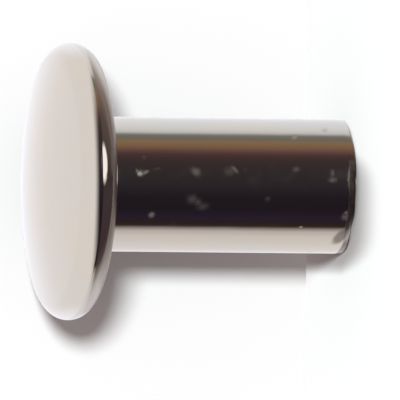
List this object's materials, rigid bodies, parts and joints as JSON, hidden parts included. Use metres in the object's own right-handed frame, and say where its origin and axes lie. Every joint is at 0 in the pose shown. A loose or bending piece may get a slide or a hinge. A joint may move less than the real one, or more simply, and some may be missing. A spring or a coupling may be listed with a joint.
{
  "type": "truss head tubular rivet",
  "caption": "Nickel-plated steel rivet with a wide low-domed truss head, a straight shank and a blind tubular hole in the shank's open end.",
  "frame": {"origin": "centre of the shank's open end, which the rivet stands on", "axes": "+Z along the rivet's axis, from the open end to the top of the domed head; X and Y are any two directions across it"},
  "size_m": [0.0098, 0.0098, 0.0112],
  "materials": {
    "nickel_plate": "bright nickel plate on steel"
  },
  "bodies": {
    "root": {"rivet": "nickel_plate"}
  },
  "joints": []
}
